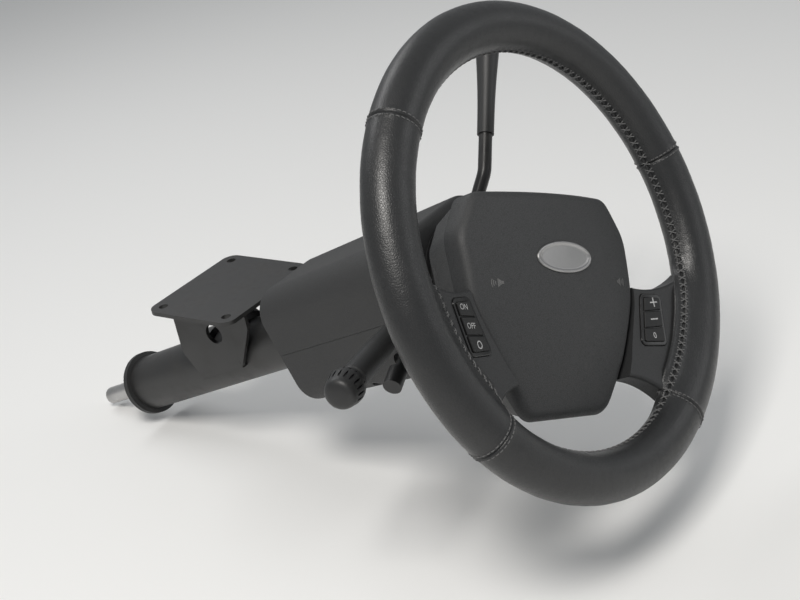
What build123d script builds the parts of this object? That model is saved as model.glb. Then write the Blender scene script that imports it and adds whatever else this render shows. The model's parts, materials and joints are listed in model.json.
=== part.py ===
from build123d import *
import math
import os

# Steering wheel and tilting steering column with a column gear lever, in millimetres.
# Column frame: origin at the centre of the rim's plane, x to the driver's right,
# y up in the plane of the wheel, z out of the column towards the driver.
# Row frame: x right, y forward, z up, origin at the centre of the bracket's four holes.

# Place of the column in the car
column_tilt = 22.0          # column axis above the horizontal, degrees
wheel_turn = -27.0          # how far the wheel is turned as it stands, degrees
bracket_station = 400.0     # rim plane to the bracket, along the axis
bracket_height = 70.0       # column axis below the bracket's top face

# Rim
rim_radius = 180.0
rim_width = 40.0
rim_depth = 38.0
leather = 1.6
glue_gap = 0.2
seam_gap = 1.2
seam_angles = (-130.0, -50.0, 28.0, 152.0)

# Clearances
seat_gap = 0.3              # between skins that lie against each other
shut_line = 1.0             # round the pad and the pods
running_gap = 0.05          # shaft in bearing
press_gap = 0.02            # bearing in its seat
lever_room = 5.0            # round a lever where it leaves the shroud
overlap = 2.0               # how far joined forms run into each other
beyond = 400.0              # how far a cut runs out past everything

# Airbag pad and badge
pad_outline = (             # x, y, corner radius on the right half
    (80.0, 45.0, 14.0),
    (101.0, 12.0, 30.0),
    (98.0, -40.0, 60.0),
    (75.0, -90.0, 60.0),
    (50.0, -130.0, 20.0),
)
pad_crown = 5.0             # highest point of the face above the rim's plane
pad_dome = 390.0            # radius of the crowned face
pad_back = -26.0
pad_edge_round = 7.0
badge_width = 65.0
badge_height = 25.0
badge_y = -9.0
badge_recess = 1.6
badge_proud = 1.4
badge_border = 2.2
badge_edge_round = 0.6

# Side spokes
spoke_top_root = (90.0, -27.0)      # x, y under the edge of the pad, right spoke
spoke_top_dip = (128.0, -32.0)
spoke_low_root = (58.0, -104.0)
spoke_low_dip = (92.0, -113.0)
spoke_flare_angles = (-2.0, -50.3)  # where top and low edge meet the rim, degrees
spoke_wall = 3.0
spoke_edge_round = 3.0
dish_inner_r = 60.0
dish_end_inset = 4.0        # the spokes end this far inside the rim's centre line
dish_top_inner = -11.0      # height of the spoke's face at the inner radius
dish_top_mid = -7.0
dish_top_outer = 8.0
dish_low_inner = -40.0
dish_low_outer = -12.0

# Switch pods
pod_outline = ((105.0, -36.0), (128.0, -38.0), (120.0, -82.0), (91.0, -80.0))
pod_corner = 5.0
pod_proud = 1.2
pod_back = -15.0
pod_border = 3.5
pod_edge_round = 0.8
button_rows = ((-38.0, -51.0), (-52.2, -65.2), (-66.4, -79.0))   # top y, low y
button_gap = 0.35
button_proud = 2.4
button_floor = -10.5
button_edge_round = 0.6

# Armature
arm_top = ((26.0, -4.0), (88.0, -38.0))      # x, y from the hub outwards, right arm
arm_low = ((84.0, -93.0), (18.0, -40.0))     # and back to the hub
arm_end_angles = (-14.0, -36.0)              # where top and low edge meet the rim, degrees
arm_window = ((76.0, -49.0), (136.0, -55.0), (122.0, -88.0), (84.0, -78.0))
arm_corner = 6.0
arm_thick = 10.0            # over the ribs
arm_web = 4.0
arm_rib = 4.0               # ribs along the arm's edges and round its window
arm_hub_z = -60.0           # middle of the arm at the hub
arm_rim_z = -10.0           # middle of the arm at the rim
arm_clear = 1.0
arm_bend_r = 42.0
hub_radius = 22.0
hub_top = -50.0
plate_radius = 48.0
plate_thick = 7.0

# Hub back cover
cover_wall = 2.5
cover_inset = 2.0
cover_tray_low = -56.0
cover_tray_taper = 22.0
cover_cone_rise = 8.0       # cone's roof above the tray's floor
cover_cone_top_r = 58.0
cover_cone_low_r = 51.0
cover_low = -92.0
cover_hole_gap = 5.5        # round the shaft
cover_edge_round = 4.0

# Steering shaft
shaft_r = 9.5
shaft_top = -56.0
shaft_ball_r = 11.0
drive_pin_r = 3.0           # cross pin of the joint
drive_pin_half = 15.5
drive_pin_gap = 0.5         # in its slots
bolt_r = 6.0
bolt_length = 34.0
bolt_hole_spare = 2.0
bolt_flange_r = 14.0
bolt_flange = 2.5
bolt_hex = 19.0
bolt_head = 9.0
thread_gap = 0.05

# Tilt head
pivot_station = -190.0
tilt_limit = 10.0           # each way, degrees
head_top = -110.0
head_flange_r = 46.0
head_flange = 5.0
head_r = 30.0
head_low = -165.0
head_bore = 15.0
bearing_r = 20.0
bearing_wide = 12.0
ear_inner = 23.0
ear_thick = 6.0
ear_half = 14.0
ear_gap = 0.4
pin_r = 6.0
pin_inner_end = 1.0         # past the ear's inner face
pin_head = 3.0              # past the yoke's outer face
clock_spring_r = 48.7
clock_spring_top = -97.0

# Shrouds
shroud_front = -98.0
shroud_rear = -290.0
shroud_width = 126.0
shroud_height = 122.0
shroud_rear_width = 112.0
shroud_rear_height = 112.0
shroud_corner = 30.0
shroud_rear_corner = 27.0
shroud_wall = 3.0
shroud_front_round = 6.0
shroud_hole_round = 6.0
shroud_split = 0.0
post_places = (             # x, z of the screw posts inside the shrouds
    (48.0, -205.0),
    (-48.0, -205.0),
    (44.0, -262.0),
    (-44.0, -262.0),
)
post_r = 5.0
screw_pilot_r = 1.6         # in the upper shroud
screw_pilot_deep = 20.0
screw_hole_r = 2.3          # in the lower shroud
screw_seat = 4.0            # below the split
screw_well_r = 3.8

# Lock cylinder, hazard button and tilt lever on the head
lock_y = -36.0
lock_station = -168.0
lock_r = 15.0
lock_wall = 2.0
lock_boss_end = 38.0
lock_inner = 28.0
lock_end = 68.0
key_slot = 2.4
key_slot_long = 11.0
key_slot_deep = 9.0
hazard_station = -165.0
hazard_r = 9.0
hazard_stem_r = 4.0
hazard_top = 66.0
hazard_cap = 12.0
tilt_lever_root = (-18.0, -18.0, -158.0)
tilt_lever_tip = (-88.0, -44.0, -148.0)
tilt_lever_r = 4.0
tilt_lever_pad_r = 8.0
tilt_lever_pad = 18.0
tilt_lever_room = 3.5

# Signal stalk
stalk_pivot = (-49.0, 0.0, -129.0)
stalk_tip = (-190.0, -4.4, -95.1)
stalk_boss_r = 6.0
stalk_boss_high = 14.0
stalk_pin_r = 3.0
stalk_root_r = 7.0
stalk_neck_r = 8.0
stalk_end_r = 10.5
stalk_swell_start = 14.0    # from the pivot along the stalk
stalk_swell_end = 24.0
stalk_swell_share = 0.6     # share of its length where it is full
stalk_end_run = 4.0
stalk_end_chamfer = 2.0
stalk_hole_shift = 3.0      # the stalk crosses the shroud this much nearer the driver
stalk_knob_r = 13.5
stalk_knob_long = 26.0
stalk_knob_lead = 2.0
stalk_flutes = 18
stalk_flute_r = 1.0
stalk_flute_deep = 0.7
stalk_flute_start = 5.0     # from the knob's root
stalk_flute_end = 18.0
switch_shroud_gap = 4.0     # from the shroud's wall at its front end
switch_half = 17.0
switch_wall = 3.0
switch_inner = -42.5
switch_root = -31.0
switch_depth = 28.0

# Gear lever
collar_gap = 0.3
collar_thick = 6.7
collar_top = -122.0
collar_low = -142.0
gear_angle = 20.0
gear_arm_end = 50.0
gear_arm_wide = 18.0
gear_arm_high = 16.0
gear_shutter_r = 47.0
gear_shutter_thick = 2.0
gear_shutter_half = 55.0
gear_shutter_side = 2.0     # wider than the collar on each side
gear_slot_side = 13.0       # past the lever at both ends, degrees
gear_slot_edge = (3.0, 4.0)     # below and above the collar
gear_slot_clear = 2.0
gear_rod_r = 6.0
gear_bend_r = 26.0
gear_path = (               # x, y, z along the rod
    (66.0, 24.0, -131.0),
    (96.0, 60.0, -109.0),
    (178.0, 155.0, -103.0),
)
gear_swing = 45.0
grip_start = 22.0           # along the last run of the rod
grip_length = 112.0
grip_root_r = 7.5
grip_waist_r = 8.6
grip_end_r = 11.0
grip_nose_r = 8.0
grip_waist_share = 0.45     # shares of the grip's length
grip_end_share = 0.84
grip_nose_share = 0.97
grip_bore = 30.0

# Column tube, yoke, bracket and lower shaft
tube_r = 28.0
tube_wall = 2.0
tube_top = -215.0
tube_end = -560.0
yoke_ring_r = 36.0
yoke_ring = 6.0
yoke_hole_gap = 3.0         # round the cup
yoke_spigot = 20.0
yoke_ear_thick = 5.0
cup_r = 17.0
cup_top = -178.0
cup_low = -205.0
cup_gap = 0.3
cup_mouth_gap = 1.0         # round the shaft tilted to its limit
bearing_flange_r = 33.0
bearing_flange = 6.0
bearing_depth = 18.0
shaft_end = -640.0
shaft_end_chamfer = 1.5
coupling_r = 9.0            # stepped end that a coupling clamps
coupling_length = 45.0
flange_width = 124.0
flange_length = 104.0
flange_thick = 4.0
flange_corner = 12.0
hole_r = 4.5
hole_spacing_x = 100.0
hole_spacing_y = 80.0
cheek_gap = 2.0             # beside the tube
cheek_thick = 4.0
cheek_front = -46.0
cheek_rear = 50.0
cheek_below = 6.0           # below the column axis
cheek_rise = 30.0
cheek_foot_inset = 20.0
cheek_corner = 5.0
cheek_hole_r = 10.0
cheek_hole_down = 33.0
saddle_stations = (-382.0, -428.0)
saddle_wide = 18.0
saddle_thick = 6.0
saddle_gap = 0.1

rise = math.radians(column_tilt)
rim_centre = (0, -bracket_station * math.cos(rise),
              bracket_station * math.sin(rise) - bracket_height)
column_plane = Plane(origin=rim_centre, x_dir=(1, 0, 0),
                     z_dir=(0, -math.cos(rise), math.sin(rise)))
dish_outer_r = rim_radius - dish_end_inset
switch_outer = switch_shroud_gap + shroud_wall - shroud_width / 2
nodes = {}


def fixed(part):
    return column_plane.location * part


def turned(part):
    return column_plane.location * Rot(0, 0, wheel_turn) * part


def face_of(points):
    return make_face(Polyline(*points, close=True))


def band(points):
    # A ring whose section in the x-z half plane has these (radius, height) corners
    return revolve(face_of([(r, 0, z) for r, z in points]), Axis.Z)


def disc(radius, low, high, x=0.0, y=0.0):
    return Pos(x, y, low) * Cylinder(radius, high - low, align=(Align.CENTER, Align.CENTER, Align.MIN))


def block(x0, x1, y0, y1, z0, z1):
    centre = Pos((x0 + x1) / 2, (y0 + y1) / 2, (z0 + z1) / 2)
    return centre * Box(x1 - x0, y1 - y0, z1 - z0)


def prism(face, low, high):
    return Pos(0, 0, low) * extrude(face, high - low)


def rounded(points, radius):
    face = face_of([(x, y, 0) for x, y in points])
    return fillet(face.vertices(), radius)


def mirrored(part):
    return mirror(part, Plane.YZ)


def rod_between(start, end, radius):
    line = Vector(*end) - Vector(*start)
    plane = Plane(origin=start, z_dir=line)
    return plane.location * disc(radius, 0, line.length)


def rod_along_x(radius, start, end, y, z):
    return Pos(start, y, z) * Rot(0, 90, 0) * disc(radius, 0, end - start)


def rod_along_y(radius, start, end, z, x=0.0):
    return Pos(x, start, z) * Rot(-90, 0, 0) * disc(radius, 0, end - start)


def smooth_band(points):
    # A turned form whose outside runs smoothly through these (radius, height) points,
    # from a flat foot to a nose on the axis
    foot_r, foot = points[0]
    side = Spline(*[(r, 0, z) for r, z in points], tangents=((0, 0, 1), (-1, 0, 0)))
    rest = Polyline((0, 0, points[-1][1]), (0, 0, foot), (foot_r, 0, foot))
    return revolve(make_face([side, rest]), Axis.Z)


def on_circle(radius, angle):
    return (radius * math.cos(math.radians(angle)), radius * math.sin(math.radians(angle)))


def sector(inner, outer, low, high, start, end):
    # A part of a ring between two angles less than 180 degrees apart
    middle = (start + end) / 2
    reach = 2 * outer / math.cos(math.radians((end - start) / 4))
    points = [(0, 0)] + [on_circle(reach, angle) for angle in (start, middle, end)]
    ring = disc(outer, low, high) - disc(inner, low, high)
    return ring & prism(face_of([(x, y, 0) for x, y in points]), low, high)


def rim_solid(grow):
    section = Plane.XZ * Pos(rim_radius, 0) * Ellipse(rim_width / 2 + grow, rim_depth / 2 + grow)
    return revolve(section, Axis.Z)


def pad_face(grow):
    right = [(x, y, 0) for x, y, r in pad_outline]
    left = [(-x, y, z) for x, y, z in reversed(right)]
    face = face_of(right + left)
    for x, y, r in pad_outline:
        for side in (x, -x):
            corner = face.vertices().sort_by_distance((side, y, 0))[0]
            face = fillet(corner, r)
    if grow:
        face = offset(face, grow)
    return face


def spoke_face():
    high, deep = [on_circle(rim_radius, angle) for angle in spoke_flare_angles]
    middle = on_circle(rim_radius, sum(spoke_flare_angles) / 2)
    top = ThreePointArc(spoke_top_root, spoke_top_dip, high)
    outer = ThreePointArc(high, middle, deep)
    low = ThreePointArc(deep, spoke_low_dip, spoke_low_root)
    outline = make_face([top, outer, low, Line(spoke_low_root, spoke_top_root)])
    return outline - pad_face(shut_line)


def dish(drop, low_drop=0.0):
    # The dished ring that gives the spokes their crowned front
    mid_r = (dish_inner_r + dish_outer_r) / 2
    top = ThreePointArc((dish_inner_r, 0, dish_top_inner - drop), (mid_r, 0, dish_top_mid - drop),
                        (dish_outer_r, 0, dish_top_outer - drop))
    rest = Polyline(top @ 1, (dish_outer_r, 0, dish_low_outer - low_drop),
                    (dish_inner_r, 0, dish_low_inner - low_drop), top @ 0)
    return revolve(make_face([top, rest]), Axis.Z)


def arm_outline():
    # It runs on into the rim, so that no rib crosses the arm's end
    ends = [on_circle(rim_radius + arm_rib, angle) for angle in arm_end_angles]
    return rounded([*arm_top, *ends, *arm_low], arm_corner)


def arm_dish(thick):
    half = thick / 2
    root_r = hub_radius - overlap
    return band([(root_r, arm_hub_z - half), (arm_bend_r, arm_hub_z - half),
                 (dish_outer_r, arm_rim_z - half), (dish_outer_r, arm_rim_z + half),
                 (arm_bend_r, arm_hub_z + half), (root_r, arm_hub_z + half)])


def arms():
    window = rounded(arm_window, arm_corner)
    web = arm_outline() - window
    ribs = web - (offset(arm_outline(), -arm_rib) - offset(window, arm_rib))
    right = prism(web, -beyond, beyond) & arm_dish(arm_web)
    right += prism(ribs, -beyond, beyond) & arm_dish(arm_thick)
    return right + mirrored(right)


def room_for_arms(gap):
    right = prism(offset(arm_outline(), gap), -beyond, beyond) & arm_dish(arm_thick + 2 * gap)
    return right + mirrored(right)


def pod_face(grow):
    face = rounded(pod_outline, pod_corner)
    return offset(face, grow) if grow else face


def make_rim():
    core = rim_solid(-leather - glue_gap)
    nodes["rim_core"] = turned(core)
    slit = Plane.XZ * Pos(rim_radius - rim_width / 2, 0) * Rectangle(4 * leather, seam_gap)
    section = Plane.XZ * Pos(rim_radius, 0) * (
        Ellipse(rim_width / 2, rim_depth / 2)
        - Ellipse(rim_width / 2 - leather, rim_depth / 2 - leather))
    skin = revolve(section - slit, Axis.Z) - room_for_arms(arm_clear)
    for angle in seam_angles:
        skin -= Rot(0, 0, angle) * Pos(rim_radius, 0, 0) * Box(2 * rim_width, seam_gap, 2 * rim_depth)
    nodes["rim_leather"] = turned(skin)
    return core


def make_armature(core):
    hub = disc(hub_radius, cover_low + cover_wall, hub_top)
    plate = disc(plate_radius, arm_hub_z - plate_thick / 2, arm_hub_z + plate_thick / 2)
    frame = hub + plate + arms() - core
    frame -= disc(shaft_r + running_gap, cover_low, hub_top)
    nodes["wheel_armature"] = turned(frame)


def make_pad():
    dome = Pos(0, 0, pad_crown - pad_dome) * Sphere(pad_dome)
    pad = prism(pad_face(0), pad_back, pad_crown + overlap) & dome
    front = pad.edges().filter_by(lambda e: e.center().Z > (pad_back + pad_crown) / 2)
    pad = fillet(front, pad_edge_round)
    seat = pad_crown - badge_recess
    oval = Pos(0, badge_y) * Ellipse(badge_width / 2 + seat_gap, badge_height / 2 + seat_gap)
    pad -= prism(oval, seat, beyond)
    nodes["airbag_pad"] = turned(pad)
    plate = Pos(0, badge_y) * Ellipse(badge_width / 2, badge_height / 2)
    field = Pos(0, badge_y) * Ellipse(badge_width / 2 - badge_border, badge_height / 2 - badge_border)
    face = pad_crown + badge_proud
    badge = prism(plate, seat, face) - prism(field, face - badge_recess / 2, beyond)
    badge = fillet(badge.edges().group_by(Axis.Z)[-1], badge_edge_round)
    nodes["badge_oval"] = turned(badge)


def make_spokes():
    face = spoke_face()
    blank = prism(face, -beyond, beyond) & dish(0)
    for point in (spoke_top_dip, spoke_low_dip):
        front = blank.faces().filter_by(lambda f: f.normal_at().Z > 0).sort_by(SortBy.AREA)[-1]
        edge = front.edges().sort_by_distance((*point, dish_top_mid))[0]
        blank = fillet(edge, spoke_edge_round)
    form = blank - rim_solid(seat_gap)
    inner_face = offset(face, -spoke_wall) & Circle(rim_radius - rim_width / 2 - spoke_wall)
    form -= prism(inner_face, -beyond, beyond) & dish(spoke_wall, beyond)
    form -= prism(pod_face(seat_gap), -beyond, beyond)
    form -= room_for_arms(seat_gap)
    nodes["spoke_cover_right"] = turned(form)
    nodes["spoke_cover_left"] = turned(mirrored(form))


def make_pods():
    bezel = prism(pod_face(0), pod_back, beyond) & dish(-pod_proud)
    front = bezel.faces().sort_by(Axis.Z)[-1]
    bezel = fillet(front.edges(), pod_edge_round)
    field = pod_face(-pod_border)
    buttons = []
    for top, low in button_rows:
        strip = field & Pos(0, (top + low) / 2) * Rectangle(beyond, top - low)
        bezel -= prism(offset(strip, button_gap), button_floor, beyond)
        button = prism(strip, button_floor, beyond) & dish(-button_proud)
        buttons.append(fillet(button.faces().sort_by(Axis.Z)[-1].edges(), button_edge_round))
    nodes["switch_bezel_right"] = turned(bezel)
    nodes["switch_bezel_left"] = turned(mirrored(bezel))
    right = Compound(children=buttons)
    nodes["switch_buttons_right"] = turned(right)
    nodes["switch_buttons_left"] = turned(mirrored(right))


def cover_tray(inset, low):
    # The tapered tray behind the pad, this far inside the pad's outline
    return Pos(0, 0, pad_back) * extrude(pad_face(-inset), pad_back - low, dir=(0, 0, -1),
                                         taper=cover_tray_taper)


def make_back_cover():
    roof = cover_tray_low + cover_cone_rise
    cone = band([(0, cover_low), (cover_cone_low_r, cover_low), (cover_cone_top_r, roof), (0, roof)])
    cone = fillet(cone.edges().group_by(Axis.Z)[0], cover_edge_round)
    well = band([(0, cover_low + cover_wall), (cover_cone_low_r - cover_wall, cover_low + cover_wall),
                 (cover_cone_top_r - cover_wall, roof - cover_wall), (0, roof - cover_wall)])
    shell = cover_tray(cover_inset, cover_tray_low) + cone
    shell -= cover_tray(cover_inset + cover_wall, cover_tray_low + cover_wall)
    shell -= well
    shell -= room_for_arms(arm_clear)
    shell -= disc(shaft_r + cover_hole_gap, -beyond, cover_low + cover_wall + overlap)
    nodes["hub_back_cover"] = turned(shell)


def make_upper_shaft():
    bolt_end = hub_top - bolt_length
    shaft = disc(shaft_r, pivot_station, shaft_top)
    shaft += Pos(0, 0, pivot_station) * Sphere(shaft_ball_r)
    shaft += rod_along_x(drive_pin_r, -drive_pin_half, drive_pin_half, 0, pivot_station)
    shaft -= disc(bolt_r + thread_gap, bolt_end - bolt_hole_spare, hub_top)
    nodes["upper_shaft"] = turned(shaft)
    bolt = disc(bolt_r, bolt_end, hub_top) + disc(bolt_flange_r, hub_top, hub_top + bolt_flange)
    hexagon = RegularPolygon(bolt_hex / 2, 6, major_radius=False)
    bolt += prism(hexagon, hub_top + bolt_flange, hub_top + bolt_flange + bolt_head)
    nodes["wheel_bolt"] = turned(bolt)


def make_head():
    seat_r = bearing_r + press_gap
    seat_top = head_top - bearing_wide
    seat_low = head_low + bearing_wide
    casting = band([(seat_r, head_top), (head_flange_r, head_top), (head_flange_r, head_top - head_flange),
                    (head_r, head_top - head_flange), (head_r, head_low), (seat_r, head_low),
                    (seat_r, seat_low), (head_bore, seat_low), (head_bore, seat_top), (seat_r, seat_top)])
    for side in (1, -1):
        inner, outer = sorted((side * ear_inner, side * (ear_inner + ear_thick)))
        casting += block(inner, outer, -ear_half, ear_half, pivot_station, head_low + overlap)
        casting += rod_along_x(ear_half, inner, outer, 0, pivot_station)
    casting += rod_along_x(lock_r + lock_wall, 0, lock_boss_end, lock_y, lock_station)
    casting -= disc(ear_inner, -beyond, head_low)
    casting -= disc(head_bore, -beyond, head_top)
    casting -= disc(seat_r, head_low - overlap, seat_low)
    casting -= rod_along_x(lock_r + seat_gap, lock_inner, beyond, lock_y, lock_station)
    casting -= rod_along_x(pin_r + running_gap, -beyond, beyond, 0, pivot_station)
    nodes["head_casting"] = fixed(casting)
    bearings = []
    for low, high in ((seat_top, head_top), (head_low, seat_low)):
        bearings.append(disc(bearing_r, low, high) - disc(shaft_r + running_gap, low, high))
    nodes["head_bearings"] = fixed(Compound(children=bearings))
    ring = disc(clock_spring_r, head_top, clock_spring_top) - disc(head_bore, head_top, clock_spring_top)
    nodes["clock_spring"] = fixed(ring)
    return casting


def make_head_controls(casting):
    lock = rod_along_x(lock_r, lock_inner, lock_end, lock_y, lock_station)
    lock -= block(lock_end - key_slot_deep, beyond, lock_y - key_slot_long / 2,
                  lock_y + key_slot_long / 2, lock_station - key_slot / 2, lock_station + key_slot / 2)
    nodes["lock_cylinder"] = fixed(lock)
    button = rod_along_y(hazard_stem_r, 0, hazard_top, hazard_station)
    button += rod_along_y(hazard_r, hazard_top - hazard_cap, hazard_top, hazard_station)
    button -= disc(head_r, -beyond, head_top)
    nodes["hazard_button"] = fixed(button)
    line = Vector(*tilt_lever_tip) - Vector(*tilt_lever_root)
    pad_start = Vector(*tilt_lever_tip) - line.normalized() * tilt_lever_pad
    lever = rod_between(tilt_lever_root, tilt_lever_tip, tilt_lever_r)
    lever += rod_between(tuple(pad_start), tilt_lever_tip, tilt_lever_pad_r)
    nodes["tilt_lever"] = fixed(lever - casting)


def shroud_section(width, height, corner, station):
    return Pos(0, 0, station) * RectangleRounded(width, height, corner)


def stalk_hole():
    # The rounded window in the shroud's left side
    room = 2 * (stalk_neck_r + lever_room)
    middle = stalk_pivot[2] + stalk_hole_shift
    window = Pos(0, 0, middle) * (Plane.YZ * RectangleRounded(
        room + 2 * stalk_hole_shift, room, shroud_hole_round))
    return Pos(-shroud_width / 4, 0, 0) * extrude(window, shroud_width, dir=(-1, 0, 0))


def make_shrouds():
    outer = loft([
        shroud_section(shroud_width, shroud_height, shroud_corner, shroud_front),
        shroud_section(shroud_rear_width, shroud_rear_height, shroud_rear_corner, shroud_rear)])
    outer = fillet(outer.edges().group_by(Axis.Z)[-1], shroud_front_round)
    twice = 2 * shroud_wall
    inner = loft([
        shroud_section(shroud_width - twice, shroud_height - twice,
                       shroud_corner - shroud_wall, shroud_front - shroud_wall),
        shroud_section(shroud_rear_width - twice, shroud_rear_height - twice,
                       shroud_rear_corner - shroud_wall, shroud_rear - overlap)])
    shell = outer - inner
    for x, z in post_places:
        shell += rod_along_y(post_r, -beyond, beyond, z, x) & outer
    shell -= disc(clock_spring_r + seat_gap, shroud_front - twice, shroud_front)
    shell -= stalk_hole()
    shell -= sector(gear_shutter_r + gear_shutter_thick + gear_slot_clear, shroud_width,
                    collar_low - gear_slot_edge[0], collar_top + gear_slot_edge[1],
                    gear_angle - gear_swing - gear_slot_side, gear_angle + gear_slot_side)
    shell -= rod_along_x(lock_r + shut_line, 0, beyond, lock_y, lock_station)
    shell -= rod_along_y(hazard_r + shut_line, 0, beyond, hazard_station)
    shell -= rod_between(tilt_lever_root, tilt_lever_tip, tilt_lever_r + tilt_lever_room)
    for x, z in post_places:
        shell -= rod_along_y(screw_pilot_r, shroud_split, shroud_split + screw_pilot_deep, z, x)
        shell -= rod_along_y(screw_hole_r, shroud_split - screw_seat, shroud_split, z, x)
        shell -= rod_along_y(screw_well_r, -beyond, shroud_split - screw_seat, z, x)
    room = seat_gap / 2
    for name, low, high in (("shroud_upper", shroud_split + room, beyond),
                            ("shroud_lower", -beyond, shroud_split - room)):
        nodes[name] = fixed(shell & block(-beyond, beyond, low, high, -beyond, beyond))


def make_signal_switch():
    top = head_top - head_flange
    low = top - switch_depth
    housing = block(switch_outer, switch_root, -switch_half, switch_half, top - switch_wall, top)
    housing += block(switch_outer, switch_inner, -switch_half, switch_half, low, low + switch_wall)
    for side in (1, -1):
        inner, outer = sorted((side * (switch_half - switch_wall), side * switch_half))
        housing += block(switch_outer, switch_inner, inner, outer, low, top)
    housing += disc(stalk_pin_r, low, top, stalk_pivot[0], stalk_pivot[1])
    nodes["signal_switch"] = fixed(housing)


def make_stalk():
    line = Vector(*stalk_tip) - Vector(*stalk_pivot)
    plane = Plane(origin=stalk_pivot, z_dir=line)
    long = line.length - stalk_knob_long
    arm = band([(0, 0), (stalk_root_r, 0), (stalk_root_r, stalk_swell_start),
                (stalk_neck_r, stalk_swell_end), (stalk_end_r, long * stalk_swell_share),
                (stalk_end_r, long - stalk_end_run), (stalk_end_r - stalk_end_chamfer, long), (0, long)])
    lever = plane.location * arm
    x, y, z = stalk_pivot
    lever += disc(stalk_boss_r, z - stalk_boss_high / 2, z + stalk_boss_high / 2, x, y)
    lever -= disc(stalk_pin_r + running_gap, -beyond, beyond, x, y)
    nodes["stalk_lever"] = fixed(lever)
    knob = smooth_band([(stalk_knob_r - stalk_knob_lead, 0), (stalk_knob_r, stalk_knob_lead * 2),
                        (stalk_knob_r, stalk_flute_end), (0, stalk_knob_long)])
    for index in range(stalk_flutes):
        x, y = on_circle(stalk_knob_r + stalk_flute_r - stalk_flute_deep,
                         (index + 0.5) * 360 / stalk_flutes)
        knob -= disc(stalk_flute_r, stalk_flute_start, stalk_flute_end, x, y)
    nodes["stalk_knob"] = fixed(plane.location * Pos(0, 0, long) * knob)


def make_gear_lever():
    middle = (collar_top + collar_low) / 2
    shutter = (collar_low - gear_shutter_side, collar_top + gear_shutter_side)
    collar = disc(head_r + collar_gap + collar_thick, collar_low, collar_top)
    arm = block(head_r + overlap, gear_arm_end, -gear_arm_wide / 2, gear_arm_wide / 2,
                middle - gear_arm_high / 2, middle + gear_arm_high / 2)
    collar += Rot(0, 0, gear_angle) * arm
    collar -= disc(head_r + collar_gap, collar_low, collar_top)
    collar += sector(gear_shutter_r, gear_shutter_r + gear_shutter_thick, *shutter,
                     gear_angle - gear_shutter_half, gear_angle + gear_shutter_half)
    nodes["shift_collar"] = fixed(collar)
    foot = (*on_circle(gear_arm_end, gear_angle), middle)
    path = FilletPolyline(foot, *gear_path, radius=gear_bend_r)
    rod = sweep(Plane(origin=foot, z_dir=path % 0) * Circle(gear_rod_r), path=path)
    last = Vector(*gear_path[-1]) - Vector(*gear_path[-2])
    grip_foot = Vector(*gear_path[-2]) + last.normalized() * (grip_start + gear_bend_r / 2)
    grip_plane = Plane(origin=tuple(grip_foot), z_dir=last)
    rod -= grip_plane.location * disc(grip_end_r, grip_bore, beyond)
    rod -= Rot(0, 0, gear_angle) * block(0, gear_arm_end, -gear_arm_wide, gear_arm_wide,
                                         collar_low, collar_top)
    rod -= disc(gear_shutter_r + gear_shutter_thick, *shutter)
    nodes["gear_lever_rod"] = fixed(rod)
    grip = smooth_band([(grip_root_r, 0), (grip_waist_r, grip_length * grip_waist_share),
                        (grip_end_r, grip_length * grip_end_share),
                        (grip_nose_r, grip_length * grip_nose_share), (0, grip_length)])
    grip -= disc(gear_rod_r + running_gap, 0, grip_bore)
    nodes["gear_lever_grip"] = fixed(grip_plane.location * grip)


def make_yoke():
    spigot_low = tube_top - yoke_spigot
    yoke = disc(yoke_ring_r, tube_top, tube_top + yoke_ring)
    yoke += disc(tube_r - tube_wall - press_gap, spigot_low, tube_top)
    ear_start = ear_inner + ear_thick + ear_gap
    for side in (1, -1):
        inner, outer = sorted((side * ear_start, side * (ear_start + yoke_ear_thick)))
        yoke += block(inner, outer, -ear_half, ear_half, tube_top, pivot_station)
        yoke += rod_along_x(ear_half, inner, outer, 0, pivot_station)
        inner, outer = sorted((side * (ear_inner - pin_inner_end),
                               side * (ear_start + yoke_ear_thick + pin_head)))
        yoke += rod_along_x(pin_r, inner, outer, 0, pivot_station)
    yoke -= disc(cup_r + yoke_hole_gap, -beyond, tube_top + yoke_ring)
    nodes["tilt_yoke"] = fixed(yoke)


def make_tube():
    tube = disc(tube_r, tube_end, tube_top) - disc(tube_r - tube_wall, tube_end, tube_top)
    nodes["jacket_tube"] = fixed(tube)
    bearing = disc(tube_r - tube_wall - press_gap, tube_end, tube_end + bearing_depth)
    bearing += disc(bearing_flange_r, tube_end - bearing_flange, tube_end)
    bearing -= disc(shaft_r + running_gap, tube_end - bearing_flange, tube_end + bearing_depth)
    nodes["lower_bearing"] = fixed(bearing)


def make_lower_shaft():
    step = shaft_end + coupling_length
    spigot = disc(coupling_r, shaft_end, step)
    spigot = chamfer(spigot.edges().sort_by(Axis.Z)[0], shaft_end_chamfer)
    shaft = spigot + disc(shaft_r, step, cup_low) + disc(cup_r, cup_low, cup_top)
    socket_r = shaft_ball_r + cup_gap
    tilt = math.radians(tilt_limit)
    mouth_r = shaft_r / math.cos(tilt) + (cup_top - pivot_station) * math.tan(tilt) + cup_mouth_gap
    shaft -= Pos(0, 0, pivot_station) * Sphere(socket_r)
    shaft -= band([(0, pivot_station), (socket_r, pivot_station), (mouth_r, cup_top), (0, cup_top)])
    slot_half = drive_pin_r + drive_pin_gap
    slot_low = pivot_station - slot_half - drive_pin_half * math.tan(tilt)
    shaft -= Rot(0, 0, wheel_turn) * block(-beyond, beyond, -slot_half, slot_half, slot_low, cup_top)
    nodes["lower_shaft"] = fixed(shaft)


def axis_height(y):
    # Height of the column axis in the row frame at this distance forward
    return -bracket_height - y * math.tan(rise)


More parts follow.
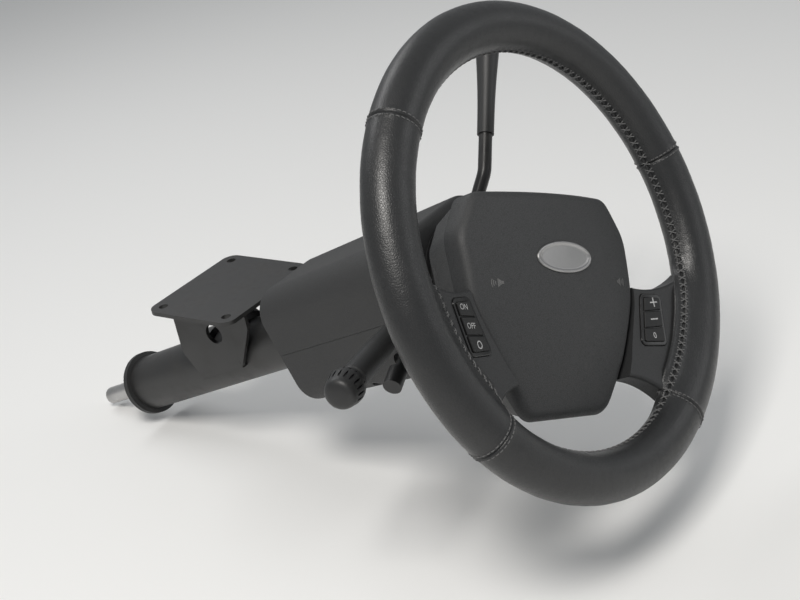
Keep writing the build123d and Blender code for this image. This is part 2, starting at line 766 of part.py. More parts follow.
def make_bracket():
    bracket = prism(RectangleRounded(flange_width, flange_length, flange_corner), -flange_thick, 0)
    for x in (-hole_spacing_x / 2, hole_spacing_x / 2):
        for y in (-hole_spacing_y / 2, hole_spacing_y / 2):
            bracket -= disc(hole_r, -flange_thick, 0, x, y)
    front_foot, rear_foot = cheek_front + cheek_foot_inset, cheek_rear - cheek_foot_inset
    side = face_of([
        (0, cheek_front, -flange_thick / 2), (0, cheek_rear, -flange_thick / 2),
        (0, cheek_rear, axis_height(cheek_rear) + cheek_rise),
        (0, rear_foot, axis_height(rear_foot) - cheek_below),
        (0, front_foot, axis_height(front_foot) - cheek_below),
        (0, cheek_front, axis_height(cheek_front) + cheek_rise)])
    low_corners = side.vertices().filter_by(lambda v: v.Z < -flange_thick)
    side = fillet(low_corners, cheek_corner)
    cheek_inner = tube_r + cheek_gap
    for start in (cheek_inner, -cheek_inner - cheek_thick):
        cheek = extrude(Pos(start, 0, 0) * side, cheek_thick, dir=(1, 0, 0))
        bracket += cheek - rod_along_x(cheek_hole_r, -beyond, beyond, 0, -cheek_hole_down)
    for station in saddle_stations:
        low, high = station - saddle_wide / 2, station + saddle_wide / 2
        ring = disc(tube_r + saddle_gap + saddle_thick, low, high) - disc(tube_r + saddle_gap, low, high)
        bracket += fixed(ring & block(-beyond, beyond, -cheek_below, beyond, low, high))
    nodes["mounting_bracket"] = bracket


core = make_rim()
make_armature(core)
make_pad()
make_spokes()
make_pods()
make_back_cover()
make_upper_shaft()
head = make_head()
make_head_controls(head)
make_shrouds()
make_signal_switch()
make_stalk()
make_gear_lever()
make_yoke()
make_tube()
make_lower_shaft()
make_bracket()

os.makedirs("parts", exist_ok=True)
for name, part in nodes.items():
    export_step(part, "parts/" + name + ".step")
print(len(nodes), "nodes written")
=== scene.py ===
import bpy
import bmesh
import json
import math
from mathutils import Matrix, Vector, noise


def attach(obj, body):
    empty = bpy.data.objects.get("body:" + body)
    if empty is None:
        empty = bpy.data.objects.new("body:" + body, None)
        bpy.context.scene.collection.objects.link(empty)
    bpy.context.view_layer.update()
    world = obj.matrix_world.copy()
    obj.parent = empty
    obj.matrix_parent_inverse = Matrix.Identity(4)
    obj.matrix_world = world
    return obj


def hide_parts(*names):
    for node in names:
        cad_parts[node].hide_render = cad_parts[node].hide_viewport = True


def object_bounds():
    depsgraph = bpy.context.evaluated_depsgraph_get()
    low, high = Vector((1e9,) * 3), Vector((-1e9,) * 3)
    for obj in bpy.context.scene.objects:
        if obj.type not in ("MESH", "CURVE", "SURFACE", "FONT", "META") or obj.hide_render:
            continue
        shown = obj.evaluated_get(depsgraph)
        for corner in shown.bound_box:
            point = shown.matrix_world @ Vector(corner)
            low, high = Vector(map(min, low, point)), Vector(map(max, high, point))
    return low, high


# Steering wheel and tilting column. Settings are in millimetres and degrees, meshes in metres.

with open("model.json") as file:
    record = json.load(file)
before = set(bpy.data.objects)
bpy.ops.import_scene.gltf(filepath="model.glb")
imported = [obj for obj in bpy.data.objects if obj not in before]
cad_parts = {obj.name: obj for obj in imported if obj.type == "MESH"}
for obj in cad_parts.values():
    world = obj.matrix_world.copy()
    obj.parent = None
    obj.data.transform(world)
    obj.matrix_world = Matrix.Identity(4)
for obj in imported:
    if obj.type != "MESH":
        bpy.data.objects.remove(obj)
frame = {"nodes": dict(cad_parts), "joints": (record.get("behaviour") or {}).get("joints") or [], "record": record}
cadLow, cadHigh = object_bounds()
joints = {joint["name"]: joint for joint in frame["joints"]}
milli = 0.001
turnAtRest = -27.0  # how far the wheel is turned as it stands

# Column frame: origin in the rim's centre, x to the right, z along the axis towards the driver
towards = Vector(joints["wheel_turn"]["axis"]).normalized()
rimCentre = Vector(joints["wheel_turn"]["pos_m"])
across = Vector((1, 0, 0))
upward = towards.cross(across)
columnTurn = Matrix((across, upward, towards)).transposed().to_4x4()
columnFrame = Matrix.Translation(rimCentre) @ columnTurn @ Matrix.Scale(milli, 4)
wheelFrame = columnFrame @ Matrix.Rotation(math.radians(turnAtRest), 4, "Z")


# Shader sums

class SocketValue:
    def __init__(self, shader, socket):
        self.shader = shader
        self.socket = socket

    def __add__(self, other):
        return self.shader.maths("ADD", self, other)

    def __radd__(self, other):
        return self.shader.maths("ADD", other, self)

    def __sub__(self, other):
        return self.shader.maths("SUBTRACT", self, other)

    def __rsub__(self, other):
        return self.shader.maths("SUBTRACT", other, self)

    def __mul__(self, other):
        return self.shader.maths("MULTIPLY", self, other)

    def __rmul__(self, other):
        return self.shader.maths("MULTIPLY", other, self)


class Shader:
    def __init__(self, name):
        self.material = bpy.data.materials.new(name)
        self.material.use_nodes = True
        self.tree = self.material.node_tree
        self.place = self.node("ShaderNodeTexCoord", out="Object")

    def feed(self, socket, value):
        if isinstance(value, SocketValue):
            self.tree.links.new(value.socket, socket)
        else:
            socket.default_value = value

    def node(self, kind, settings=None, sockets=None, out=0):
        made = self.tree.nodes.new(kind)
        for key, value in (settings or {}).items():
            setattr(made, key, value)
        for key, value in (sockets or {}).items():
            self.feed(made.inputs[key], value)
        return SocketValue(self, made.outputs[out])

    def maths(self, operation, first, second):
        return self.node("ShaderNodeMath", {"operation": operation}, {0: first, 1: second})

    def vectors(self, operation, sockets):
        return self.node("ShaderNodeVectorMath", {"operation": operation}, sockets)

    # Textures, with sizes in mm

    def cloud(self, size, detail=3.0, rough=0.55):  # soft noise from 0 to 1
        scale = 1 / (size * milli)
        return self.node("ShaderNodeTexNoise", None, {"Vector": self.place, "Scale": scale,
                                                      "Detail": detail, "Roughness": rough})

    def warped(self, size, push):  # the place, pushed about by up to half of push
        shift = self.node("ShaderNodeTexNoise", None,
                          {"Vector": self.place, "Scale": 1 / (size * milli), "Detail": 1.0},
                          "Color")
        shift = self.vectors("SUBTRACT", {0: shift, 1: (0.5, 0.5, 0.5)})
        shift = self.vectors("SCALE", {0: shift, "Scale": push * milli})
        return self.vectors("ADD", {0: self.place, 1: shift})

    def cells(self, size, feature="F1", place=None):
        return self.node("ShaderNodeTexVoronoi", {"feature": feature},
                         {"Vector": place or self.place, "Scale": 1 / (size * milli)}, "Distance")

    def range(self, value, low, high):  # eased from 0 at low to 1 at high
        return self.node("ShaderNodeMapRange", {"interpolation_type": "SMOOTHSTEP"},
                         {"Value": value, "From Min": low, "From Max": high})

    def spots(self, low, high, **cloud):  # a cloud cut to patches
        return self.range(self.cloud(**cloud), low, high)

    def blend(self, amount, first, second):
        return self.node("ShaderNodeMix", {"data_type": "RGBA"},
                         {0: amount, 6: first, 7: second}, 2)  # 6 and 7 are its colour sockets

    def bump(self, height, depth):  # depth in mm
        return self.node("ShaderNodeBump", None,
                         {"Height": height, "Distance": depth * milli, "Strength": 1.0})

    def finish(self, **sockets):
        surface = self.tree.nodes["Principled BSDF"]
        for key, value in sockets.items():
            self.feed(surface.inputs[key.replace("_", " ")], value)
        return self.material


def colour(value, warm=0.0):
    return (value * (1 + warm), value, value * (1 - warm), 1.0)


# Finishes. Tone is the base colour's value, grain the texture's size and depth its height.
# The dictionaries hold factors on the tone, and what is added to the roughness.

# In the skin finish, the crease factor darkens the grain's creases as painted shade.
skin = {
    "warmth": -0.03, "creaseWidth": 0.2, "paintedCreaseShade": 0.75, "scuffTone": 1.6,
    "creaseRough": 0.1, "patchRough": 0.05, "scuffRough": 0.05,
    "pebbleHigh": 0.5, "creaseHigh": 0.5, "fineHigh": 0.25,
}
plastic = {
    "warmth": -0.02, "dustTone": 1.8, "dustWarmth": 0.02, "dust": 0.35, "patchRough": 0.08,
    "pitRough": 0.06, "fineHigh": 0.3,
}
gloss = {"speckTone": 4.0, "speck": 0.5, "smearRough": 0.14, "waveDepth": 0.05}
plating = {"warmth": 0.01, "patinaTone": 0.6, "patchRough": 0.12, "fineRough": 0.08}
paint = {
    "patch": 0.4, "patchTone": 1.6, "patchWarmth": 0.05, "patchRough": 0.15,
    "chipTone": 0.24, "chipWarmth": 0.12, "chipRough": 0.2, "chipMetal": 0.7,
    "peelHigh": 0.5, "depth": 0.06,
}
# The fibre's dark factor is painted shade, in the foam's pores and the low places of the thread's twist.
fibre = {"hollowShadeTone": 0.5, "depth": 0.1, "foamRough": 0.85, "poreRough": 0.1,
         "threadRough": 0.6, "twistRough": 0.15}


def grainedSkin(name, tone, grain, depth, rough, wear, shine=0.5):  # leather and soft vinyl
    warmth = skin["warmth"]
    shader = Shader(name)
    pebble = shader.cells(grain, place=shader.warped(size=grain * 3, push=grain * 0.7))
    crease = shader.cells(grain * 1.6, "DISTANCE_TO_EDGE",
                          shader.warped(size=grain * 4, push=grain))
    crease = shader.range(crease, 0.0, skin["creaseWidth"])
    height = ((1 - pebble) * skin["pebbleHigh"] + crease * skin["creaseHigh"]
              + shader.cloud(size=grain * 0.4, detail=2.0) * skin["fineHigh"])
    patch = shader.spots(size=60, detail=4.0, low=0.35, high=0.7)
    scuff = shader.spots(size=14, detail=6.0, rough=0.7, low=0.52, high=0.75) * patch
    # Painted shade: the base colour is darkened in the grain's creases, the grooves of the bump.
    shade = shader.blend(crease, colour(tone * skin["paintedCreaseShade"], warmth), colour(tone, warmth))
    shade = shader.blend(scuff * wear, shade, colour(tone * skin["scuffTone"], warmth / 2))
    roughness = (rough + (1 - crease) * skin["creaseRough"] + patch * skin["patchRough"]
                 - scuff * skin["scuffRough"])
    return shader.finish(Base_Color=shade, Roughness=roughness, Specular_IOR_Level=shine,
                         Normal=shader.bump(height, depth))


def mouldedPlastic(name, tone, grain, depth, rough, shine=0.45):
    shader = Shader(name)
    pits = shader.cells(grain, place=shader.warped(size=grain * 2, push=grain * 0.5))
    pits = shader.range(pits, low=0.15, high=0.6)
    patch = shader.cloud(size=45, detail=4.0)
    dust = (shader.spots(size=8, detail=6.0, rough=0.7, low=0.55, high=0.8)
            * shader.range(patch, low=0.4, high=0.65))
    shade = shader.blend(dust * plastic["dust"], colour(tone, plastic["warmth"]),
                         colour(tone * plastic["dustTone"], plastic["dustWarmth"]))
    roughness = rough + patch * plastic["patchRough"] + pits * plastic["pitRough"]
    height = pits + shader.cloud(size=0.3, detail=1.0) * plastic["fineHigh"]
    return shader.finish(Base_Color=shade, Roughness=roughness, Specular_IOR_Level=shine,
                         Normal=shader.bump(height, depth))


def glossPlastic(name, tone, rough):
    shader = Shader(name)
    smear = shader.spots(size=9, detail=5.0, rough=0.65, low=0.45, high=0.75)
    speck = shader.spots(size=0.6, detail=2.0, low=0.68, high=0.8)
    shade = shader.blend(speck * gloss["speck"], colour(tone), colour(tone * gloss["speckTone"]))
    return shader.finish(Base_Color=shade, Roughness=rough + smear * gloss["smearRough"],
                         Normal=shader.bump(shader.cloud(size=20, detail=2.0), gloss["waveDepth"]))


def metal(name, tone, rough, depth, patina=0.4):
    warmth = plating["warmth"]
    shader = Shader(name)
    patch = shader.spots(size=25, detail=5.0, rough=0.6, low=0.4, high=0.7)
    fine = shader.cloud(size=0.9, detail=4.0, rough=0.7)
    shade = shader.blend(patch * patina, colour(tone, warmth),
                         colour(tone * plating["patinaTone"], warmth))
    roughness = rough + patch * plating["patchRough"] + fine * plating["fineRough"]
    return shader.finish(Base_Color=shade, Metallic=1.0, Roughness=roughness,
                         Normal=shader.bump(fine, depth))


def dippedPaint(name, tone, rough):  # black paint on steel, chipped in places
    shader = Shader(name)
    peel = shader.cloud(size=1.4)
    patch = shader.spots(size=30, detail=5.0, rough=0.65, low=0.45, high=0.7)
    chip = shader.spots(size=5, detail=8.0, rough=0.75, low=0.68, high=0.72)
    shade = shader.blend(patch * paint["patch"], colour(tone),
                         colour(tone * paint["patchTone"], paint["patchWarmth"]))
    shade = shader.blend(chip, shade, colour(paint["chipTone"], paint["chipWarmth"]))
    roughness = rough + patch * paint["patchRough"] + chip * paint["chipRough"]
    return shader.finish(Base_Color=shade, Roughness=roughness, Metallic=chip * paint["chipMetal"],
                         Normal=shader.bump(peel * paint["peelHigh"] - chip, paint["depth"]))


def foam(name, tone):
    shader = Shader(name)
    pores = shader.range(shader.cells(0.8), low=0.1, high=0.5)
    # Painted shade: the foam is darker in its pores, where the bump sinks.
    shade = shader.blend(pores, colour(tone * fibre["hollowShadeTone"]), colour(tone))
    return shader.finish(Base_Color=shade, Normal=shader.bump(pores, fibre["depth"]),
                         Roughness=fibre["foamRough"] + pores * fibre["poreRough"])


def thread(name, tone):  # also the matt paint of the marks
    shader = Shader(name)
    twist = shader.spots(size=0.35, detail=2.0, low=0.35, high=0.65)
    # Painted shade: the thread, and the marks' paint, are darker where the twist's bump is low.
    shade = shader.blend(twist, colour(tone * fibre["hollowShadeTone"]), colour(tone))
    return shader.finish(Base_Color=shade, Normal=shader.bump(twist, fibre["depth"]),
                         Roughness=fibre["threadRough"] + twist * fibre["twistRough"])


finishes = {
    "rim_leather": grainedSkin("rimLeatherSkin", tone=0.021, grain=1.1, depth=0.1, rough=0.3,
                               wear=0.6),
    "rim_foam": foam("rimFoam", tone=0.03),
    "cast_metal": metal("castMetal", tone=0.5, rough=0.45, depth=0.12),
    "pad_skin": grainedSkin("padSkin", tone=0.04, grain=0.9, depth=0.07, rough=0.5, wear=0.15,
                            shine=0.4),
    "grained_black": grainedSkin("spokeSkin", tone=0.026, grain=0.8, depth=0.06, rough=0.42,
                                 wear=0.25, shine=0.45),
    "shroud_black": mouldedPlastic("shroudPlastic", tone=0.03, grain=1.0, depth=0.08, rough=0.52),
    "badge_grey": metal("badgeMetal", tone=0.42, rough=0.3, depth=0.01, patina=0.2),
    "gloss_black": glossPlastic("podGloss", tone=0.006, rough=0.14),
    "button_black": mouldedPlastic("buttonPlastic", tone=0.008, grain=0.6, depth=0.02, rough=0.36,
                                   shine=0.4),
    "switch_plastic": mouldedPlastic("switchPlastic", tone=0.024, grain=1.2, depth=0.05, rough=0.5),
    "lever_black": mouldedPlastic("leverPlastic", tone=0.02, grain=0.8, depth=0.04, rough=0.34),
    "lock_metal": metal("lockMetal", tone=0.55, rough=0.25, depth=0.01, patina=0.3),
    "bare_steel": metal("bareSteel", tone=0.5, rough=0.3, depth=0.03),
    "black_steel": dippedPaint("blackSteel", tone=0.016, rough=0.3),
    "painted_steel": dippedPaint("dippedSteel", tone=0.022, rough=0.4),
}
# Painted sheen: the seam thread's tone is raised to mid-grey, lighter than the dark thread, to stand for the light
# it catches.
sheenPaintedThread = thread("sheenPaintedThread", tone=0.16)
markPaint = thread("markPaint", tone=0.62)
hornPaint = thread("hornPaint", tone=0.15)
print("finishes made:", len(finishes))

for part in frame["record"]["subparts"]:
    mesh = frame["nodes"][part["node"]].data
    mesh.materials.clear()
    mesh.materials.append(finishes[part["material_slot"]])


# Making meshes

weldGap = 0.00001  # metres


def addPiece(name, shape, place, body, slot, material=None, sharp=40.0, replaced=()):
    points, faces = shape
    mesh = bpy.data.meshes.new(name)
    mesh.from_pydata([place @ Vector(point) for point in points], [], faces)
    welded = bmesh.new()
    welded.from_mesh(mesh)
    bmesh.ops.remove_doubles(welded, verts=welded.verts, dist=weldGap)
    bmesh.ops.recalc_face_normals(welded, faces=welded.faces)
    welded.to_mesh(mesh)
    welded.free()
    mesh.shade_smooth()
    mesh.set_sharp_from_angle(angle=math.radians(sharp))
    piece = bpy.data.objects.new(name, mesh)
    bpy.context.scene.collection.objects.link(piece)
    mesh.materials.append(material or finishes[slot])
    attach(piece, body)
    if replaced:
        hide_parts(*replaced)


def gridFaces(rows, columns, wrapRows=False):  # each row closes on itself
    faces = []
    for row in range(rows if wrapRows else rows - 1):
        here, ahead = row * columns, (row + 1) % rows * columns
        for column in range(columns):
            beside = (column + 1) % columns
            faces.append((here + column, here + beside, ahead + beside, ahead + column))
    return faces


def roundedOutline(corners, step):  # corners as (x, y, radius)
    outline = []
    count = len(corners)
    for index in range(count):
        before = Vector(corners[index - 1][:2])
        here = Vector(corners[index][:2])
        after = Vector(corners[(index + 1) % count][:2])
        radius = corners[index][2]
        arrive = (before - here).normalized()
        leave = (after - here).normalized()
        half = arrive.angle(leave) / 2
        reach = radius / math.tan(half)
        middle = here + (arrive + leave).normalized() * radius / math.sin(half)
        first = here + arrive * reach - middle
        last = here + leave * reach - middle
        turn = first.angle(last)
        parts = max(2, int(turn * radius / step))
        side = 1 if first.x * last.y - first.y * last.x > 0 else -1
        for part in range(parts + 1):
            angle = side * turn * part / parts
            spun = Vector((first.x * math.cos(angle) - first.y * math.sin(angle),
                           first.x * math.sin(angle) + first.y * math.cos(angle)))
            outline.append(middle + spun)
    return evenSpacing(outline, step)


def evenSpacing(outline, step):
    count = len(outline)
    lengths = [(outline[(i + 1) % count] - outline[i]).length for i in range(count)]
    total = sum(lengths)
    wanted = int(total / step)
    even = []
    index, travelled = 0, 0.0
    for number in range(wanted):
        target = total * number / wanted
        while travelled + lengths[index] < target:
            travelled += lengths[index]
            index += 1
        share = (target - travelled) / lengths[index]
        even.append(outline[index].lerp(outline[(index + 1) % count], share))
    return even


def outwardNormals(outline):
    count = len(outline)
    area = sum(outline[i].x * outline[(i + 1) % count].y - outline[(i + 1) % count].x * outline[i].y
               for i in range(count))
    side = 1 if area > 0 else -1
    normals = []
    for index in range(count):
        along = (outline[(index + 1) % count] - outline[index - 1]).normalized()
        normals.append(Vector((along.y * side, -along.x * side)))
    return normals


def moulding(outline, profile, surface, centre, rings):
    # Walls and edge by the profile, as (inset, drop, fixed height or None), then rings that
    # close on the centre, and a flat back
    columns = len(outline)
    normals = outwardNormals(outline)
    points = []
    for inset, drop, height in profile:
        for place, normal in zip(outline, normals):
            spot = place - normal * inset
            level = surface(spot.x, spot.y) - drop if height is None else height
            points.append((spot.x, spot.y, level))
    inset, drop = profile[-1][:2]
    for ring in range(1, rings):
        share = 1 - ring / rings
        for place, normal in zip(outline, normals):
            spot = centre + (place - normal * inset - centre) * share
            points.append((spot.x, spot.y, surface(spot.x, spot.y) - drop))
    points.append((centre.x, centre.y, surface(centre.x, centre.y) - drop))
    top = len(points) - 1
    faces = gridFaces(top // columns, columns)
    last = top - columns
    faces += [(last + i, last + (i + 1) % columns, top) for i in range(columns)]
    faces.append(tuple(range(columns))[::-1])
    return points, faces


def roundProfile(bottom, radius, steps):  # wall from the bottom up, then a quarter round
    profile = [(0.0, 0.0, bottom)]
    for step in range(steps + 1):
        angle = math.pi / 2 * step / steps
        profile.append((radius * (1 - math.cos(angle)), radius * (1 - math.sin(angle)), None))
    return profile


def tubeAlong(path, radius, sides):
    steep = 0.9  # where a path climbs more than this, its sides aren't taken from the z axis
    points = []
    last = len(path) - 1
    for index, here in enumerate(path):
        along = (path[min(index + 1, last)] - path[max(index - 1, 0)]).normalized()
        side = along.orthogonal() if abs(along.z) > steep else along.cross(Vector((0, 0, 1)))
        side.normalize()
        other = along.cross(side)
        for corner in range(sides):
            angle = 2 * math.pi * corner / sides
            points.append(here + side * radius * math.cos(angle) + other * radius * math.sin(angle))
    faces = gridFaces(len(path), sides)
    faces.append(tuple(range(sides))[::-1])
    faces.append(tuple(range(last * sides, len(points))))
    return points, faces


def joined(pieces):  # several (points, faces) as one
    points, faces = [], []
    for somePoints, someFaces in pieces:
        start = len(points)
        points += list(somePoints)
        faces += [tuple(start + index for index in face) for face in someFaces]
    return points, faces


# The rim's leather wrap. Turn is the angle round the wheel, tilt the angle round the rim's
# section, with 0 on the outer side and half a turn on the inner one, where the long seam is.

rim = {
    "radius": 180.0, "halfWidth": 20.0, "halfDepth": 19.0, "sharp": 75.0,
    "grooveDepth": 1.3, "grooveWidth": 0.9,  # the long seam, and the lips beside it
    "lipHeight": 0.55, "lipPlace": 2.9, "lipWidth": 1.5, "pucker": 0.35,
    "seamAngles": (-130.0, -50.0, 28.0, 152.0),  # the cross seams between the four panels
    "crossDepth": 1.0, "crossWidth": 0.7, "crossReach": 12.0,
    "crossLip": 0.3, "crossLipPlace": 2.4, "crossLipWidth": 1.6,
    "wave": 0.2, "waves": ((9, 1.3, 0.7, 1.0), (31, 3, 4, 0.5)),  # by turn, by tilt, place, share
}
rimRows = {  # where the leather's mesh has its rows, in millimetres beside a seam
    "turns": 720, "closest": 0.0012,
    "besideCross": (-2.4, -1.6, -1.0, -0.5, 0, 0.5, 1.0, 1.6, 2.4),
    "tilts": 34, "tiltReach": 1.55,  # in quarter turns each way from the outer side
    "besideSeam": (-5.0, -4.0, -3.2, -2.4, -1.7, -1.2, -0.8, -0.4, 0, 0.4, 0.8, 1.2, 1.7, 2.4,
                   3.2, 4.0, 5.0),
    "onFlap": (125, 131, 137, 143, 149, 155, 160, 199, 201, 202, 203, 204, 205, 206, 208, 210,
               213, 217, 221, 225),  # degrees of tilt
}
stitch = {
    "pitch": 7.0, "radius": 0.55, "sides": 6, "reach": 3.4, "parts": 6, "low": 0.15, "rise": 0.55,
    "crossAway": 2.3, "crossSize": 0.8, "crossParts": 4, "crossLow": 0.25, "crossRise": 0.25,
    "crossCount": 31, "crossFirst": 0.12, "crossStep": 0.2, "crossLong": 0.13,  # in radians
    "crossClear": 0.25,  # left free at the long seam
}
flap = {  # where the leather spreads onto a spoke
    "rise": (180.0, 196.0), "fall": (222.0, 240.0),  # degrees of turn on the left half
    "first": 118.0, "last": 202.0, "middle": 204.0, "under": 206.0, "back": 210.0, "end": 228.0,
    "root": 176.0,  # these are degrees of tilt, and the next are places as (radius, height)
    "tip": (147.6, 2.6), "edge": (146.5, 1.2), "below": (147.6, -1.3),
    "lean": (0.92, 0.39), "pull": 9.0,  # how the leather comes down to the tip
}


def smooth(share):
    share = min(max(share, 0.0), 1.0)
    return share * share * (3 - 2 * share)


def curve(start, startPull, endPull, end, share):
    rest = 1 - share
    return (start * rest ** 3 + startPull * 3 * rest ** 2 * share
            + endPull * 3 * rest * share ** 2 + end * share ** 3)


def plainSection(degrees):
    angle = math.radians(degrees)
    return Vector((rim["radius"] + rim["halfWidth"] * math.cos(angle),
                   rim["halfDepth"] * math.sin(angle)))


def flapShare(turn):  # 0 along the open rim, 1 on a spoke
    degrees = math.degrees(turn) % 360
    if math.cos(turn) > 0:
        degrees = (180 - degrees) % 360
    (riseFrom, riseTo), (fallFrom, fallTo) = flap["rise"], flap["fall"]
    risen = smooth((degrees - riseFrom) / (riseTo - riseFrom))
    return risen * smooth((fallTo - degrees) / (fallTo - fallFrom))


def flapSection(degrees):
    first, last, back, end = flap["first"], flap["last"], flap["back"], flap["end"]
    tip = Vector(flap["tip"])
    if degrees <= last:  # over the top, down to the tip
        start = plainSection(first)
        leave = (plainSection(first + 1) - start).normalized()
        return curve(start, start + leave * flap["pull"], tip + Vector(flap["lean"]) * flap["pull"],
                     tip, (degrees - first) / (last - first))
    if degrees > back:
        share = (degrees - back) / (end - back)
        return plainSection(flap["root"] + share * (end - flap["root"]))
    corners = ((last, tip), (flap["middle"], Vector(flap["edge"])),
               (flap["under"], Vector(flap["below"])), (back, plainSection(flap["root"])))
    for (before, start), (after, stop) in zip(corners, corners[1:]):
        if degrees <= after:
            return start.lerp(stop, (degrees - before) / (after - before))


def rimSection(share, degrees):
    plain = plainSection(degrees)
    if share > 0 and flap["first"] < degrees < flap["end"]:
        return plain.lerp(flapSection(degrees), share)
    return plain


def rimPoint(turn, tilt, lift):
    share = flapShare(turn)
    degrees = math.degrees(tilt) % 360
    here = rimSection(share, degrees)
    along = (rimSection(share, degrees + 1) - rimSection(share, degrees - 1)).normalized()
    here = here + Vector((along.y, -along.x)) * lift
    return Vector((here.x * math.cos(turn), here.x * math.sin(turn), here.y))


def hump(place, width):  # 1 at 0, fading over the width
    return math.exp(-(place / width) ** 2)


def rimLift(turn, tilt):
    fromSeam = (tilt - math.pi) * rim["halfWidth"]
    along = (rim["radius"] - rim["halfWidth"]) * turn
    pull = 0.5 + 0.5 * math.cos(2 * math.pi * along / stitch["pitch"])
    lip = hump(abs(fromSeam) - rim["lipPlace"], rim["lipWidth"])
    lift = -rim["grooveDepth"] * hump(fromSeam, rim["grooveWidth"])
    lift += lip * (rim["lipHeight"] - rim["pucker"] * pull)
    for seam in rim["seamAngles"]:
        away = math.remainder(turn - math.radians(seam), 2 * math.pi) * rim["radius"]
        if abs(away) < rim["crossReach"]:
            lift -= rim["crossDepth"] * hump(away, rim["crossWidth"])
            lift += rim["crossLip"] * hump(abs(away) - rim["crossLipPlace"], rim["crossLipWidth"])
    soft = sum(share * noise.noise(Vector((turn * byTurn, tilt * byTilt, place)))
               for byTurn, byTilt, place, share in rim["waves"])
    return lift + rim["wave"] * soft


def rimTurns():
    turns = [math.radians(360 / rimRows["turns"]) * index for index in range(rimRows["turns"])]
    for seam in rim["seamAngles"]:
        turns += [math.radians(seam) + away / rim["radius"] for away in rimRows["besideCross"]]
    turns = sorted(turn % (2 * math.pi) for turn in turns)
    kept = [turns[0]]
    for turn in turns[1:]:
        if turn - kept[-1] > rimRows["closest"]:
            kept.append(turn)
    return kept


def rimTilts():
    reach = math.pi / 2 * rimRows["tiltReach"]
    tilts = [reach * (2 * index / (rimRows["tilts"] - 1) - 1) for index in range(rimRows["tilts"])]
    tilts += [math.pi + place / rim["halfWidth"] for place in rimRows["besideSeam"]]
    tilts += [math.radians(degrees) for degrees in rimRows["onFlap"]]
    return sorted(tilt % (2 * math.pi) for tilt in tilts)


def makeLeather():
    turns, tilts = rimTurns(), rimTilts()
    points = [rimPoint(turn, tilt, rimLift(turn, tilt)) for turn in turns for tilt in tilts]
    faces = gridFaces(len(turns), len(tilts), wrapRows=True)
    addPiece("rimLeatherWrap", (points, faces), wheelFrame, "wheel", "rim_leather",
             sharp=rim["sharp"], replaced=["rim_leather"])
    print("rim leather made:", len(points), "points")


def longSeam():  # crossed stitches over the long seam
    inner = rim["radius"] - rim["halfWidth"]
    count = int(2 * math.pi * inner / stitch["pitch"])
    pitch = 2 * math.pi / count
    stitches = []
    for index in range(count):
        turn = 2 * math.pi * index / count
        for side in (1, -1):
            path = []
            for step in range(stitch["parts"] + 1):
                share = step / stitch["parts"]
                tilt = math.pi + side * stitch["reach"] * (1 - 2 * share) / rim["halfWidth"]
                high = stitch["low"] + stitch["rise"] * math.sin(math.pi * share)
                path.append(rimPoint(turn + pitch * share / 2, tilt, high))
            stitches.append(tubeAlong(path, stitch["radius"], stitch["sides"]))
    return stitches


def crossSeam(seam):  # a row of short stitches on either side of a cross seam
    stitches = []
    radius = stitch["radius"] * stitch["crossSize"]
    for index in range(stitch["crossCount"]):
        tilt = stitch["crossFirst"] + stitch["crossStep"] * index
        if abs(tilt - math.pi) < stitch["crossClear"]:
            continue
        for side in (1, -1):
            turn = math.radians(seam) + side * stitch["crossAway"] / rim["radius"]
            path = []
            for step in range(stitch["crossParts"] + 1):
                share = step / stitch["crossParts"]
                high = stitch["crossLow"] + stitch["crossRise"] * math.sin(math.pi * share)
                path.append(rimPoint(turn, tilt + stitch["crossLong"] * share, high))
            stitches.append(tubeAlong(path, radius, stitch["sides"]))
    return stitches


def makeStitching():
    stitches = longSeam()
    for seam in rim["seamAngles"]:
        stitches += crossSeam(seam)
    # The stitches take the lightened thread, a painted sheen.
    addPiece("rimStitching", joined(stitches), wheelFrame, "wheel", "rim_leather", sheenPaintedThread)
    print("rim stitches made:", len(stitches))


makeLeather()
makeStitching()


# The airbag pad and its bare badge

pad = {
    "corners": ((80.0, 45.0, 14.0), (101.0, 12.0, 30.0), (98.0, -40.0, 60.0), (75.0, -90.0, 60.0),
                (50.0, -130.0, 20.0)),  # x, y and radius down the right side
    "crown": 5.0, "dome": 390.0, "back": -26.0, "edge": 7.0, "middle": (0.0, -40.0),
    "step": 2.0, "edgeSteps": 8, "rings": 40, "sharp": 60.0,
}
badge = {
    "width": 65.0, "height": 25.0, "y": -9.0, "border": 2.4, "proud": 1.3, "edge": 0.7,
    "bevel": 0.3,  # share of the edge
    "sink": 1.5,  # below the pad's crown
    "dip": 0.3,  # of the field inside the border
    "sides": 96, "rings": 8, "sharp": 50.0,
}


def padSurface(x, y):
    return pad["crown"] - pad["dome"] + math.sqrt(pad["dome"] ** 2 - x * x - y * y)


def makePad():
    left = [(-x, y, radius) for x, y, radius in reversed(pad["corners"])]
    outline = roundedOutline(list(pad["corners"]) + left, pad["step"])
    profile = roundProfile(pad["back"], pad["edge"], pad["edgeSteps"])
    shape = moulding(outline, profile, padSurface, Vector(pad["middle"]), pad["rings"])
    addPiece("padCover", shape, wheelFrame, "wheel", "pad_skin", sharp=pad["sharp"],
             replaced=["airbag_pad"])


def makeBadge():
    angles = [2 * math.pi * side / badge["sides"] for side in range(badge["sides"])]
    outline = [Vector((badge["width"] / 2 * math.cos(angle),
                       badge["y"] + badge["height"] / 2 * math.sin(angle))) for angle in angles]
    border, edge, dip, high = badge["border"], badge["edge"], badge["dip"], badge["proud"]
    bevel = edge * badge["bevel"]
    profile = [(0, 0, pad["crown"] - badge["sink"]), (0, edge - high, None),
               (bevel, bevel - high, None), (edge, -high, None), (border - edge, -high, None),
               (border, edge - high, None), (border + dip, edge + dip - high, None)]
    shape = moulding(outline, profile, padSurface, Vector((0, badge["y"])), badge["rings"])
    addPiece("badgePlate", shape, wheelFrame, "wheel", "badge_grey", sharp=badge["sharp"],
             replaced=["badge_oval"])


makePad()
makeBadge()
print("pad and badge made")


# Printed marks on the buttons, raised horn signs on the pad

